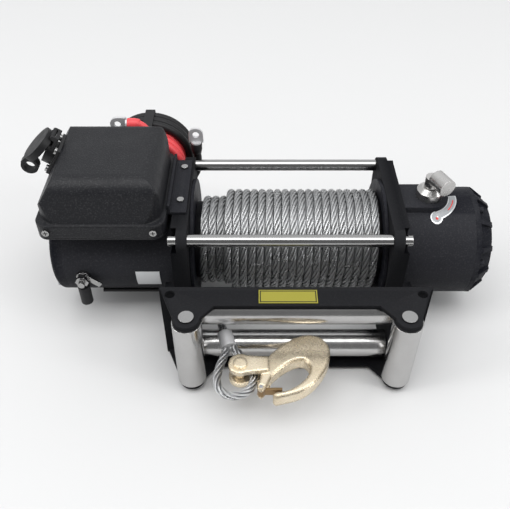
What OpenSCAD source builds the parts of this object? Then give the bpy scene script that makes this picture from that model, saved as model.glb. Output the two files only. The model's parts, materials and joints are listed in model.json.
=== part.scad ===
// Electric recovery winch with a roller fairlead, wire rope and clevis hook.
// Sizes in millimetres: X along the drum, Y away from the rope side, Z up from the feet.

/* [Frame] */
// Clear distance between the two drum supports
drum_gap = 225; // [215:1:240]
// Thickness of each drum support
support_t = 18.5; // [16:0.5:22]
// Depth of each drum support from front to back
support_depth = 160; // [156:1:164]
// Height of each drum support
support_h = 157; // [153:1:162]
// Corner radius at the top of each drum support
support_r = 14; // [6:1:18]
// Height of the drum axis above the feet
axis_h = 84; // [80:1:86]
// Diameter of the tie bars
bar_d = 14; // [12:0.5:16]
// Distance between the front and rear tie bars
bar_pitch = 140.8; // [136:0.2:142]
// Height of the tie bars above the feet
bar_h = 145; // [142:0.5:147]
// Shank diameter of the tie bar screws
bar_screw_d = 8; // [6:1:8]
// Head diameter of the tie bar screws
bar_head_d = 12; // [11:0.5:14]
// Head length of the tie bar screws
bar_head_l = 9; // [5:0.5:10]
// Depth of the tapped hole in each tie bar end
bar_tap = 20; // [12:1:30]
// Width of each foot along the drum axis
foot_w = 29.5; // [26:0.5:34]
// Thickness of the feet
foot_t = 19; // [17:0.5:19]
// Foot bolt spacing along the drum axis
foot_pitch_x = 254; // [244:1:256]
// Foot bolt spacing from front to back
foot_pitch_y = 114.3; // [100:0.1:120]
// Foot bolt hole diameter
foot_hole_d = 11; // [9:0.5:13]
// Depth of the foot bolt holes
foot_hole_l = 16; // [12:0.5:16]
// Height of the front toe that carries the fairlead
toe_h = 80; // [72:1:82]
// Distance from the drum axis to the front of the toe
toe_y = 107.6; // [106:0.2:112]

/* [Drum and rope] */
// Diameter of the drum core
core_d = 56; // [54:1:60]
// Diameter of the drum flanges
flange_d = 148; // [140:1:152]
// Thickness of each drum flange
flange_t = 3.5; // [2.5:0.5:5]
// Diameter of the drum hubs
hub_d = 44; // [40:1:46]
// Bore through the drum
drum_bore_d = 28; // [26:1:32]
// Wall of the bushes that carry the drum hubs
drum_bush_t = 4; // [3:0.5:5]
// Diameter of the wire rope
rope_d = 9.4; // [9:0.1:9.6]
// Number of rope layers on the drum
rope_layers = 4; // [3:1:4]
// Turns missing from the outer layer at the motor end
rope_short = 4; // [2:1:8]

/* [Motor] */
// Outer diameter of the motor can
motor_d = 120; // [116:1:122]
// Length of the motor with its end cap
motor_l = 145; // [138:1:148]
// Wall of the motor can
motor_wall = 5; // [4:0.5:7]
// Length of the motor end cap
cap_l = 15; // [12:1:20]
// Rounding of the motor end cap
cap_r = 7; // [3:0.5:9]
// Thickness of each field pole
pole_t = 13; // [11:0.5:14]
// Radial gap between the armature and the field poles
air_gap = 1; // [0.8:0.1:1.5]
// Length of the armature core
arm_l = 78; // [60:1:80]
// Diameter of the commutator
comm_d = 36; // [30:1:44]
// Length of the commutator
comm_l = 16; // [12:1:18]
// Diameter of the motor shaft
shaft_d = 12; // [10:0.5:14]
// Angle covered by each field pole
pole_a = 62; // [40:1:66]
// Shank diameter of the motor through bolts
through_d = 6; // [5:0.5:7]
// Distance of the motor terminal from the drum supports
terminal_x = 108; // [96:0.5:112]
// Height of the motor terminal
terminal_h = 81; // [78:0.5:88]
// Length of the boot below the terminal
boot_l = 26; // [18:1:30]
// Diameter of the boot
boot_d = 14; // [12:0.5:16]
// Diameter of the motor wire
wire_d = 5; // [4:0.5:6]

/* [Control box] */
// Length of the control box along the drum axis
box_l = 141; // [134:1:146]
// Depth of the control box
box_w = 140; // [136:1:146]
// Height of the control box cover
box_h = 62; // [56:1:68]
// Height of the lip around the cover
lip_h = 16; // [14:1:20]
// Wall of the cover
box_wall = 3; // [2.5:0.5:4]
// Lean of the front face from lip to crown
box_lean = 30; // [24:1:34]
// Lean of the rear face from lip to crown
box_lean_rear = 16; // [15:1:34]
// Rounding along the front and rear top edges
box_r = 22; // [14:1:24]
// Radius of the rear crown edge
box_r_rear = 13; // [8:1:14]
// Corner radius of the crown seen from above
crown_corner = 24; // [14:1:26]
// Rounding of the upright corners
box_corner = 14; // [8:1:16]
// Draft of the end faces
box_draft = 2; // [1:0.5:4]
// Gap between the drum support and the cover
box_gap = 5; // [4:0.5:8]
// Thickness of the box floor
floor_t = 3; // [2:0.5:4]
// Distance of the box screws from the ends of the lip
box_screw_in = 12.5; // [11:0.5:20]
// Height of the box screws on the lip
box_screw_h = 8; // [6:0.5:9]
// Head diameter of the small screws
screw_head_d = 8; // [7:0.5:8.5]
// Shank diameter of the small screws
screw_d = 5; // [4:0.5:5.5]
// Slope of the socket face from the horizontal
socket_tilt = 57; // [50:1:62]
// Length of the sloping socket face
socket_face = 37; // [36:0.5:44]
// Sideways place of the socket
socket_y = 20; // [-10:1:24]
// Side of the square socket flange
socket_sq = 35; // [34:1:36]
// Outer diameter of the socket barrel
socket_d = 28; // [27:1:29]
// Length of the socket barrel
socket_l = 10; // [9:0.5:16]
// Diameter of the socket mouth
socket_bore_d = 25; // [20:1:25]
// Outer diameter of the socket cap
sock_cap_d = 43; // [41:0.5:44]
// Angle at which the socket cap stands open
cap_open = 16; // [8:1:30]
// Width of the strap on the drum support
strap_w = 16; // [12:1:17]
// Thickness of the strap
strap_t = 3; // [2:0.5:4]

/* [Gear end] */
// Outer diameter of the gear housing
gear_d = 129; // [126:1:132]
// Wall of the gear housing
gear_wall = 6.5; // [5:0.5:8]
// Length of the gear housing tube
gear_l = 83; // [80:1:88]
// Length of the ribbed end cap
gear_cap_l = 22; // [18:1:26]
// Diameter at the outer edge of the end cap
gear_cap_d = 108; // [96:1:116]
// Number of ribs on the end cap
rib_count = 12; // [8:1:16]
// Width of the ribs on the end cap
rib_w = 6; // [4:0.5:8]
// Wall of the ring gears behind their teeth
ring_wall = 8; // [7.5:0.25:9]
// Pressure angle of the gears
gear_pa = 25; // [24:0.5:25]
// Material taken off each tooth flank for backlash
backlash = 0.1; // [0.08:0.01:0.14]
// Face width of the planet gears
planet_l = 46; // [42:1:48]
// Diameter of the planet pins
planet_pin_d = 9.8; // [8:0.1:10]
// Diameter of the drive shaft
drive_d = 10.4; // [9:0.1:11]
// Thickness of each carrier plate
carrier_t = 4; // [3:0.5:4.5]
// Face width of the drum ring gear
drum_ring_l = 18; // [16:0.5:20]
// Notches around the clutch ring
notch_count = 12; // [6:1:15]
// Depth of the clutch notches
notch_depth = 5; // [4:0.25:5.5]
// Distance of the clutch from the drum support
clutch_x = 33; // [30:0.5:36]
// Width of the clutch pad
pad_w = 44; // [40:1:48]
// Height of the clutch pad over the housing
pad_h = 3.5; // [3:0.5:6]
// Diameter of the clutch pin
clutch_pin_d = 12; // [10:0.5:13]
// Lift of the clutch pin when the lever is turned
clutch_lift = 6; // [5.8:0.1:7]
// Diameter of the clutch base
clutch_base_d = 30; // [28:1:34]
// Height of the clutch base
clutch_base_h = 14; // [12:0.5:18]
// Diameter of the clutch lever grip
lever_d = 20; // [17:0.5:22]
// Length of the clutch lever grip
lever_l = 22; // [18:1:30]
// Direction of the clutch lever
lever_a = -66; // [-90:1:-45]
// Height of the lever grip over the pad
lever_h = 27; // [26:0.5:34]
// Outer radius of the clutch plate
plate_r = 32; // [30:0.5:36]

/* [Fairlead] */
// Sideways place of the fairlead
lead_x = 6; // [-2:0.5:8]
// Height of the top of the fairlead
lead_h = 111; // [109:0.5:114]
// Height of the underside of the fairlead
lead_z = 4.5; // [3:0.5:6]
// Plate thickness of the fairlead
lead_t = 5; // [4:0.5:6]
// Width of the fairlead along its rear edge
lead_w = 297; // [293:1:302]
// Depth of the fairlead between its ears
lead_depth = 27.5; // [26:0.5:30]
// Distance between the upright rollers
upright_pitch = 232; // [228:1:236]
// Distance of the upright rollers from the rear edge
upright_y = 44.5; // [44.5:0.5:48]
// Radius of the fairlead ears
ear_r = 14; // [12:0.5:16]
// Diameter of the rollers
roller_d = 32; // [30:0.5:32]
// Length of the level rollers
level_l = 210; // [206:1:211]
// Distance of the level rollers from the rear edge
level_y = 10.9; // [10:0.1:11]
// Height of the lower level roller over the underside of the fairlead
level_low = 23.9; // [22.5:0.1:25]
// Drop of the upper level roller below the top of the fairlead
level_high = 25; // [22.5:0.1:26]
// Diameter of the upright roller pins
upright_pin_d = 12; // [10:0.5:13]
// Diameter of the level roller pins
level_pin_d = 10; // [8:0.5:11]
// Fairlead bolt spacing
lead_pitch = 254; // [246:1:256]
// Height of the fairlead bolts
lead_bolt_h = 57.5; // [52:0.5:62]
// Diameter of the fairlead bolts
lead_bolt_d = 10; // [8:0.5:11]
// Diameter of the holes in the top of the fairlead
lead_hole_d = 11; // [9:0.5:12]
// Spacing of the holes in the top of the fairlead
lead_hole_pitch = 272; // [268:1:276]
// Length of the bare plate on the fairlead
tag_l = 63; // [50:1:70]
// Width of the bare plate on the fairlead
tag_w = 19; // [14:0.5:20]

/* [Hook] */
// Thickness of the hook
hook_t = 18; // [16:0.5:18]
// Drop of the hook below the middle of the level rollers
hook_drop = 3.2; // [2.2:0.1:3.7]
// Depth of the stepped edge on the hook
hook_edge = 2.5; // [1.5:0.25:3]
// Thickness of each clevis cheek
cheek_t = 6; // [5:0.5:7]
// Diameter of the clevis pin
clevis_d = 11; // [9:0.5:11]
// Radius of the clevis cheeks
cheek_r = 12.5; // [11.5:0.5:13.5]
// Diameter of the rope ferrule
ferrule_d = 17; // [15:0.5:18]
// Thickness of the hook latch
latch_t = 3; // [2:0.5:4]
// Diameter of the latch pin
latch_pin_d = 4; // [3:0.5:5]

/* [Battery leads] */
// Diameter of the battery leads
cable_d = 10; // [9.8:0.1:10]
// Inner radius of the lead coil
coil_r = 34; // [32:1:34]
// Hole in the cable lugs
lug_hole_d = 8.4; // [6.4:0.2:9]
// Thickness of the cable lugs
lug_t = 3; // [2:0.5:4]
// Width of the coil tie
tie_w = 12; // [8:1:16]

/* [Fits] */
// Clearance between pieces that move past each other
run_gap = 0.4; // [0.3:0.05:0.6]
// Radial clearance of shafts and pins that turn
turn_gap = 0.1; // [0.06:0.01:0.1]
// Clearance between pieces that are fixed together
fit_gap = 0.05; // [0.02:0.01:0.1]

/* [Hidden] */
$fn = 48;
cut = 1;
in_x = drum_gap / 2;
out_x = in_x + support_t;
bar_y = bar_pitch / 2;
toe_back = support_depth / 2 - 10;
core_r = core_d / 2;
flange_out = in_x - run_gap;
flange_in = flange_out - flange_t;
hub_r = hub_d / 2;
bush_r = hub_r + turn_gap + drum_bush_t;
rope_r = rope_d / 2;
rope_span = 2 * (flange_in - fit_gap);
rope_count = floor(rope_span / rope_d);
rope_pitch = rope_span / rope_count;
rope_step = rope_d * sin(60);
wind_r = core_r + fit_gap + rope_r + (rope_layers - 1) * rope_step;
wind_low = wind_r - rope_step;

motor_r = motor_d / 2;
motor_in = motor_r - motor_wall;
pole_r = motor_in - fit_gap - pole_t;
arm_r = pole_r - air_gap;
motor_x = -out_x;
motor_end = motor_x - motor_l;
cap_x = motor_end + cap_l;
arm_x = cap_x + 18;
comm_x = arm_x + arm_l + 4;
brush_x = comm_x + 2;
brush_l = comm_l - 4;
shaft_r = shaft_d / 2;
shaft_tip = motor_x + 9;
bolt_ring = motor_in - through_d / 2 - 1;
coupling_r = 10;
coupling_l = 20;
terminal_y = 9;
nut_r = 8;
nut_t = 9;
stud_r = 4;

box_x1 = motor_x - box_gap;
box_x0 = box_x1 - box_l;
box_z0 = axis_h + motor_r + 5;
box_z1 = box_z0 + box_h;
lip_z = box_z0 + lip_h;
box_step = 3;
saddle_w = 90;
saddle_in = 7;
saddle_drop = 16;
face_run = socket_face * cos(socket_tilt);
face_rise = socket_face * sin(socket_tilt);
face_in = 1;
face_x = box_x0 + box_step + face_in;
socket_at = [face_x + face_run / 2, socket_y, box_z1 - face_rise / 2];
socket_t = 4;
hinge_off = 2.2;
cap_hinge = sock_cap_d / 2 + hinge_off;
cap_z = socket_t + socket_l;
gland_x = [box_x0 + 25, box_x0 + 43];
gland_l = 10;
gland_r = 8;
gland_h = 8;

gear_r = gear_d / 2;
gear_in = gear_r - gear_wall;
gear_x = out_x;
gear_end = gear_x + gear_l;
ring_r = gear_in - run_gap;
web_x = gear_x + 1;
web_t = 5;
carrier_x = web_x + web_t + run_gap;
planet_x = carrier_x + carrier_t + run_gap;
planet_end = planet_x + planet_l;
plate_x = planet_end + run_gap;
drum_ring_end = web_x + web_t + drum_ring_l;
clutch_ring_x = drum_ring_end + run_gap;
drive_r = drive_d / 2;
clutch_at = gear_x + clutch_x;
pad_z = axis_h + gear_r + pad_h;
addendum = 0.8;
dedendum = 1;
tip_gap = 0.2;
sun_n = 12;
planet_n = 24;
fixed_n = 60;
drum_n = 63;
planet_count = 3;
ring_share = sun_n / 2 + planet_n + addendum + tip_gap;
gear_m = (ring_r - ring_wall) / ring_share;
center_d = gear_m * (sun_n + planet_n) / 2;
planet_tip = gear_m * (planet_n / 2 + addendum);
planet_root = gear_m * (planet_n / 2 - dedendum);
sun_tip = gear_m * (sun_n / 2 + addendum);
sun_root = gear_m * (sun_n / 2 - dedendum);
ring_root = center_d + planet_tip + tip_gap * gear_m;
ring_tip = center_d + planet_root + tip_gap * gear_m;
drum_pa = acos((drum_n - planet_n) * gear_m * cos(gear_pa) / (2 * center_d));

lead_y = -toe_y;
level_at = lead_y - level_y;
upright_at = lead_y - upright_y;
upright_x = [lead_x - upright_pitch / 2, lead_x + upright_pitch / 2];
roller_r = roller_d / 2;
tab_gap = 1;
tab_x = [lead_x - level_l / 2 - tab_gap, lead_x + level_l / 2 + tab_gap];
washer_t = tab_gap - run_gap;
level_at_z = [lead_z + level_low, lead_h - level_high];
rope_mid = (level_at_z[0] + level_at_z[1]) / 2;
hook_z = rope_mid - hook_drop;
lead_hole_y = lead_y - lead_t - lead_hole_d / 2 - run_gap;
upright_z0 = lead_z + lead_t + washer_t + run_gap;
upright_z1 = lead_h - lead_t - washer_t - run_gap;

clevis_at = [-54, -177];
fork_gap = 14;
fork_root = [[-24, -168], [-24, -185]];
fork_throat = [[-33, -168.2], [-33, -186]];
latch_at = [-32, -203];
latch_l = 22;
latch_w = 9;
lug_r = 5;
hook_route = [[-33, -168], [-28, -168], [-23, -162], [-16, -154.5], [-5, -145], [6, -138],
  [17, -134.5], [27, -135], [36, -139.5], [42, -149], [43, -160], [40, -172], [33.5, -185],
  [24, -197.5], [13, -206.5], [1.5, -211.5], [-10, -214.5], [-17, -216], [-20, -212.5],
  [-16, -209], [-7, -207.5], [3, -202.5], [12, -195], [18, -187], [20, -177], [14.5, -168.5],
  [4.5, -169.5], [-6.5, -176], [-14, -182.5], [-21, -190], [-24, -197], [-27, -203],
  [-32, -208], [-36.5, -203], [-35, -197], [-33, -190], [-33, -179]];

ferrule_from = [-72.5, -127, rope_mid - 1.5];
ferrule_to = [-67, -146, hook_z];
ferrule_way = (ferrule_to - ferrule_from) / norm(ferrule_to - ferrule_from);
rope_route = [[-68, -48, 38.5], [-71.5, -70, 46], [-76, -92, 54.5], ferrule_from - 16 * ferrule_way,
  ferrule_from - fit_gap * ferrule_way];
eye_from = ferrule_to + [-4.7, -1.4, 0];
eye_to = ferrule_to + [4.7, 1.4, 0];
eye_route = concat([for (k = [0.3, 2, 4]) eye_from + k * ferrule_way],
  [for (p = [[-73, -160], [-77, -174], [-79, -188], [-76, -200], [-67, -207.5], [-56, -208], [-46, -203],
    [-40.5, -193], [-40, -182], [-45, -170], [-53.5, -157.5]]) [p.x, p.y, hook_z]],
  [for (k = [4, 2, 0.3]) eye_to + k * ferrule_way]);

coil_at = [-171, 88, 134];
coil_w = 4 * cable_d;
red_r = coil_r + cable_d;
black_r = red_r + cable_d;
tie_t = 1;
tie_h = black_r - coil_r + 2 * tie_t;
red_in_route = [[-234, 80, 157], [-234, 97, 157], [-234, 107, 156.6], [-233.6, 117, 154.2],
  [-232, 126, 149.3], [-228.6, 132.5, 142], [-223.5, 135.5, 133], [-217, 135.5, 122.5], [-210, 134, 113],
  [-202.5, 133, 105.5]];
red_out_route = [[-146, 82.5, 164], [-153, 82.5, 170.2], [-159.5, 82, 177], [-165.5, 81.5, 184],
  [-171, 81, 190.5], [-175.5, 81, 195.3], [-180, 81, 198], [-184, 81, 198]];
black_in_route = [[-252, 80, 157], [-252, 97, 157], [-252, 107, 156.6], [-251.6, 117, 154.2],
  [-249.8, 126, 149], [-246, 132.5, 141.5], [-240.5, 135.5, 132.5], [-232.5, 135.5, 122],
  [-223.5, 134.5, 111.5], [-214, 133, 103]];
black_out_route = [[-112.5, 93, 124], [-111.5, 93, 134], [-111.5, 93, 143], [-112, 92, 150],
  [-112, 92, 156]];
lug_from = [[-184, 81, 198], [-112, 92, 156]];
lug_l = 10;
lug_r_out = 9;
lug_barrel = 6.5;

lead_bolt_l = 27;
lead_head_t = 6;
strap_x = strap_w / 2 - out_x;
strap_screw_y = [-19, 44];
strap_screw_l = 12;
strap_from = -40;
strap_to = 60;
through_in = 12;
through_head = 4;
gear_bolt_d = 5;
gear_bolt_in = 10;
gear_bolt_count = 6;
gear_bolt_ring = gear_r - gear_wall / 2;
spigot_r = hub_r - 4;
end_wall = 4;
bearing_r = 16;
brush_clear = 10;
brush_w = 10;
carrier_hub_r = 11;
hub_bearing_r = 16;
hub_bearing_l = 8;
hub_bearing_x = plate_x + carrier_t + 4;
shoulder_x = planet_end + 2 * run_gap;
shoulder_r = ring_r - 8;
cap_flange = 6;
relay_l = 60;
relay_w = 44;
relay_h = 34;
relay_at = [box_x0 + 40, -30];
relay_post_r = 5;
relay_post_h = 8;
relay_post_in = 15;
dome_h = 5;
stem_in = 2.5;
lever_out = 3;
lever_side = 2;
neck_r = 8;
lift_gap = 1;
pin_rise = clutch_base_h - stem_in - clutch_lift - lift_gap;
plate_from = 5;
plate_to = -85;
lobe_r = 7;
lobe_at = polar(plate_r - 3, plate_to + 5);
skirt_h = 2;
skirt_gap = 2;
hanger_in = 2;
hanger_h = 24;
clip_lip = 0.7;
gear_head_r = 3.5;
lead_head_r = 8.5;
end_r = 20;
head_in = 6.5;
relief_r = 14;
rib_h = 3;
ear_base = 4;
loop_r = 10;
loop_bore = 6.5;
loop_w = 10;
loop_at = [-8, -7];
loop_t = 3;
coupling_x = motor_x + 3;
stem_r = 4;
plate_t = 1.2;
hinge_r = 2.5;
hinge_pin_r = 1.5;
hinge_w = 12;
ear_t = 3;
sock_cap_t = 6;
box_head_t = 2.5;
head_r = screw_head_d / 2;
screw_r = screw_d / 2;
tray_y = box_w / 2 - box_wall - fit_gap;
tag_t = 1;
tag_x = -9;
clip_t = 2.5;

function involute(a) = tan(a) * 180 / PI - a;
function half_angle(r, base, zero) = zero - involute(acos(min(1, base / r)));
function gear_zero(n, extra) = 90 / n + extra + involute(gear_pa);
function polar(r, a) = [r * cos(a), r * sin(a)];
function tooth(base, zero, low, high, a) = let (
    start = max(low, base),
    mid = (start + high) / 2,
    radii = [low, start, mid, high],
    half = [for (r = radii) half_angle(max(r, base), base, zero)]
  ) concat(
    [for (i = [(low < base ? 0 : 1):3]) polar(radii[i], a - half[i])],
    [for (i = [3:-1:(low < base ? 0 : 1)]) polar(radii[i], a + half[i])]);
function gear_points(n, zero, low, high, turn) = [for (i = [0:n - 1])
  each tooth(n * gear_m * cos(gear_pa) / 2, zero, low, high, turn + i * 360 / n)];
function flank_angle(r) = backlash / r * 180 / PI;
function tangent(p, c, r, side) = let (
    d = p - c,
    a = atan2(d.y, d.x) + side * acos(r / norm(d))
  ) c + polar(r, a);
function wrap(p, i) = p[(i + len(p)) % len(p)];
function spline(a, b, c, d, t) = ((2 * b) + (c - a) * t + (2 * a - 5 * b + 4 * c - d) * t * t
  + (3 * b - a - 3 * c + d) * t * t * t) / 2;
function smooth_loop(p, n) = [for (i = [0:len(p) - 1], k = [0:n - 1])
  spline(wrap(p, i - 1), wrap(p, i), wrap(p, i + 1), wrap(p, i + 2), k / n)];
function smooth_path(p, n) = concat([for (i = [0:len(p) - 2], k = [0:n - 1])
  spline(p[max(0, i - 1)], p[i], p[i + 1], p[min(len(p) - 1, i + 2)], k / n)], [p[len(p) - 1]]);
function inset(p, e) = [for (i = [0:len(p) - 1]) let (t = wrap(p, i + 1) - wrap(p, i - 1))
  p[i] + e * [t.y, -t.x] / norm(t)];
function unit(v) = v / norm(v);
function tube_points(p, r, n, ref) = [for (i = [0:len(p) - 1]) let (
    t = unit(p[min(len(p) - 1, i + 1)] - p[max(0, i - 1)]),
    side = unit(cross(t, ref)),
    up = cross(side, t)
  ) each [for (k = [0:n - 1]) p[i] + r * (cos(k * 360 / n) * side + sin(k * 360 / n) * up)]];
function tube_faces(m, n) = concat([[for (k = [0:n - 1]) k]],
  [for (i = [0:m - 2], k = [0:n - 1]) each let (j = (k + 1) % n) [
    [i * n + k, (i + 1) * n + k, (i + 1) * n + j],
    [i * n + k, (i + 1) * n + j, i * n + j]]],
  [[for (k = [n - 1:-1:0]) (m - 1) * n + k]]);

module along_x(x) {
  translate([x, 0, axis_h]) rotate([0, 90, 0]) children();
}

module rod_x(x0, x1, r) {
  along_x(x0) cylinder(h = x1 - x0, r = r);
}

module ring_x(x0, x1, r, bore) {
  difference() {
    rod_x(x0, x1, r);
    rod_x(x0 - cut, x1 + cut, bore);
  }
}

module plate_yz(x, t) {
  translate([x, 0, 0]) rotate([90, 0, 90]) linear_extrude(t) children();
}

module side_of(side) {
  if (side > 0) children();
  else mirror([1, 0, 0]) children();
}

module bar_between(from, to, r) {
  d = to - from;
  translate(from) rotate([0, acos(d.z / norm(d)), atan2(d.y, d.x)]) cylinder(h = norm(d), r = r);
}

module swept(path, r, n, ref) {
  polyhedron(points = tube_points(path, r, n, ref), faces = tube_faces(len(path), n), convexity = 6);
}

module support_profile() {
  difference() {
    union() {
      translate([-support_depth / 2, 0]) square([support_depth, support_h - support_r]);
      translate([support_r - support_depth / 2, 0]) square([support_depth - 2 * support_r, support_h]);
      for (s = [-1, 1])
        translate([s * (support_depth / 2 - support_r), support_h - support_r]) circle(r = support_r);
    }
    translate([0, axis_h]) circle(r = bush_r + fit_gap);
    for (s = [-1, 1]) translate([s * bar_y, bar_h]) circle(r = bar_screw_d / 2 + fit_gap);
  }
}

module support(side) {
  difference() {
    side_of(side) difference() {
      union() {
        plate_yz(in_x, support_t) support_profile();
        translate([in_x, -toe_y, 0]) cube([foot_w, toe_y + support_depth / 2, foot_t]);
        translate([in_x, -toe_y, 0]) cube([foot_w, toe_y - toe_back, toe_h]);
      }
      for (s = [-1, 1]) translate([0, s * bar_y, bar_h - axis_h])
        rod_x(out_x - head_in, out_x + cut, relief_r);
      for (s = [-1, 1]) translate([foot_pitch_x / 2, s * foot_pitch_y / 2, -cut])
        cylinder(h = foot_hole_l + cut, r = foot_hole_d / 2);
    }
    translate([lead_x + side * lead_pitch / 2, -toe_y - cut, lead_bolt_h]) rotate([-90, 0, 0])
      cylinder(h = lead_bolt_l + cut, r = lead_bolt_d / 2 + fit_gap);
  }
}

module motor_support() {
  color("#2c2d33") difference() {
    support(-1);
    for (y = strap_screw_y) translate([strap_x, y, support_h - strap_screw_l])
      cylinder(h = strap_screw_l + cut, r = screw_d / 2 + fit_gap);
    for (s = [-1, 1]) translate([0, s * bolt_ring * sin(45), s * bolt_ring * sin(45)])
      rod_x(motor_x - cut, motor_x + through_in, through_d / 2 + fit_gap);
  }
}

module gear_support() {
  color("#2c2d33") difference() {
    support(1);
    gear_bolts(gear_x - gear_bolt_in, gear_x + cut, gear_bolt_d / 2 + fit_gap);
  }
}

module tie_bars() {
  color("#c9cbce") for (s = [-1, 1]) translate([0, s * bar_y, bar_h - axis_h]) difference() {
    rod_x(-in_x, in_x, bar_d / 2);
    rod_x(-in_x - cut, bar_tap - in_x, bar_screw_d / 2 + fit_gap);
    rod_x(in_x - bar_tap, in_x + cut, bar_screw_d / 2 + fit_gap);
  }
}

module tie_bar_screws() {
  color("#aeb0b4") for (s = [-1, 1], e = [-1, 1]) side_of(e) translate([0, s * bar_y, bar_h - axis_h])
    difference() {
      union() {
        rod_x(in_x - bar_tap + 2 * cut, out_x - head_in + cut, bar_screw_d / 2);
        rod_x(out_x - head_in, out_x - head_in + bar_head_l, bar_head_d / 2);
      }
      along_x(out_x - head_in + bar_head_l / 2) cylinder(h = bar_head_l, r = bar_head_d / 4, $fn = 6);
    }
}

module drum_bushes() {
  color("#b08d57") for (e = [-1, 1]) side_of(e) ring_x(in_x, out_x, bush_r, hub_r + turn_gap);
}

module drum() {
  color("#3a3b40") difference() {
    union() {
      rod_x(-flange_out, flange_out, core_r);
      for (e = [-1, 1]) side_of(e) rod_x(flange_in, flange_out, flange_d / 2);
      rod_x(2 * cut - out_x, web_x - fit_gap, hub_r);
      rod_x(flange_out, web_x + web_t, spigot_r);
    }
    rod_x(-out_x, web_x + web_t + cut, drum_bore_d / 2);
  }
}

module rope_winding() {
  color("#c4c6c8") along_x(-rope_span / 2) rotate_extrude($fn = 96) {
    translate([core_r + fit_gap, 0]) square([wind_low - core_r - fit_gap, rope_span]);
    translate([core_r + fit_gap, rope_short * rope_pitch])
      square([wind_r - core_r - fit_gap, rope_span - rope_short * rope_pitch]);
    for (i = [0:rope_count - 1])
      translate([i < rope_short ? wind_low : wind_r, (i + 0.5) * rope_pitch]) circle(r = rope_r);
  }
}

module rope_lead() {
  color("#bfc1c3") swept(rope_route, rope_r, 10, [1, 0, 0]);
}

module rope_ferrule() {
  color("#9a9ca0") bar_between(ferrule_from, ferrule_to, ferrule_d / 2);
}

module rope_eye() {
  color("#bfc1c3") swept(smooth_path(eye_route, 2), rope_r, 10, [0, 0, 1]);
}

module motor_can() {
  color("#2c2d33") ring_x(cap_x, motor_x, motor_r, motor_in);
}

module motor_end_cap() {
  color("#26272c") difference() {
    along_x(motor_end) rotate_extrude() {
      square([motor_r - cap_r, cap_l]);
      translate([0, cap_r]) square([motor_r, cap_l - cap_r]);
      translate([motor_r - cap_r, cap_r]) circle(r = cap_r);
    }
    rod_x(motor_end + end_wall, cap_x + cut, bearing_r + fit_gap);
    for (s = [-1, 1]) translate([0, s * bolt_ring * sin(45), s * bolt_ring * sin(45)])
      rod_x(motor_end - cut, cap_x + cut, through_d / 2 + fit_gap);
  }
}

module through_bolts() {
  color("#8d9094") for (s = [-1, 1])
    translate([0, s * bolt_ring * sin(45), s * bolt_ring * sin(45)]) {
    rod_x(motor_end - cut, motor_x + through_in - cut, through_d / 2);
    along_x(motor_end - through_head) cylinder(h = through_head, r = through_d, $fn = 6);
  }
}

module field_poles() {
  color("#8a5a3a") for (k = [0:3]) along_x(arm_x) rotate([0, 0, k * 90 - pole_a / 2])
    rotate_extrude(angle = pole_a) translate([pole_r, 0]) square([pole_t, arm_l]);
}

module brush_holder() {
  color("#5b4a3c") {
    difference() {
      ring_x(brush_x, brush_x + brush_l, motor_in - fit_gap, comm_d / 2 + brush_clear);
      for (s = [-1, 1]) translate([0, s * bolt_ring * sin(45), s * bolt_ring * sin(45)])
        rod_x(brush_x - cut, brush_x + brush_l + cut, through_d / 2 + fit_gap);
    }
    for (k = [0:3]) along_x(brush_x + cut) rotate([0, 0, k * 90])
      translate([comm_d / 2 + run_gap, -brush_w / 2, 0])
        cube([brush_clear + cut, brush_w, brush_l - 2 * cut]);
  }
}

module armature() {
  color("#7a5236") {
    rod_x(motor_end + end_wall + cut, shaft_tip, shaft_r);
    rod_x(arm_x, arm_x + arm_l, arm_r);
    rod_x(comm_x, comm_x + comm_l, comm_d / 2);
  }
}

module shaft_bearings() {
  color("#b9bcc0") {
    ring_x(motor_end + end_wall, cap_x, bearing_r, shaft_r + turn_gap);
    ring_x(hub_bearing_x, hub_bearing_x + hub_bearing_l, hub_bearing_r, carrier_hub_r + turn_gap);
  }
}

module motor_terminal() {
  at = motor_x - terminal_x;
  color("#c8cacd") translate([at, 0, terminal_h]) rotate([90, 0, 0]) {
    translate([0, 0, motor_r - terminal_y / 2]) difference() {
      cylinder(h = terminal_y, r = nut_r);
      translate([0, axis_h - terminal_h, terminal_y / 2 - motor_r]) rotate([0, 90, 0])
        cylinder(h = 4 * nut_r, r = motor_r + fit_gap, center = true);
    }
    translate([0, 0, motor_r + terminal_y / 2 - cut]) cylinder(h = nut_t, r = nut_r, $fn = 6);
    translate([0, 0, motor_r + terminal_y / 2]) cylinder(h = nut_t + stud_r, r = stud_r);
  }
}

module motor_cable() {
  at = [motor_x - terminal_x, -motor_r - terminal_y, terminal_h - nut_r - fit_gap - boot_l];
  hug = (motor_r + wire_d / 2 + fit_gap) * sin(45);
  color("#202125") {
    translate(at) cylinder(h = boot_l, r = boot_d / 2);
    translate([0, -hug, -hug]) rod_x(motor_x - terminal_x + boot_d, motor_x - fit_gap, wire_d / 2);
  }
}

module gear_bolts(x0, x1, r) {
  along_x(x0) for (k = [0:gear_bolt_count - 1]) rotate([0, 0, (k + 0.25) * 360 / gear_bolt_count])
    translate([gear_bolt_ring, 0, 0]) cylinder(h = x1 - x0, r = r);
}

module gear_housing() {
  color("#2f3036") difference() {
    union() {
      rod_x(gear_x, gear_end, gear_r);
      translate([clutch_at, 0, axis_h]) cylinder(h = pad_z - axis_h, r = pad_w / 2);
      translate([gear_x, -pad_w / 2, axis_h]) cube([clutch_x, pad_w, pad_z - axis_h]);
    }
    rod_x(gear_x - cut, shoulder_x, gear_in);
    rod_x(gear_x, gear_end + cut, shoulder_r);
    translate([clutch_at, 0, axis_h]) cylinder(h = pad_z, r = clutch_pin_d / 2 + turn_gap);
    gear_bolts(gear_x - cut, gear_end + cut, gear_bolt_d / 2 + fit_gap);
  }
}

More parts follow.
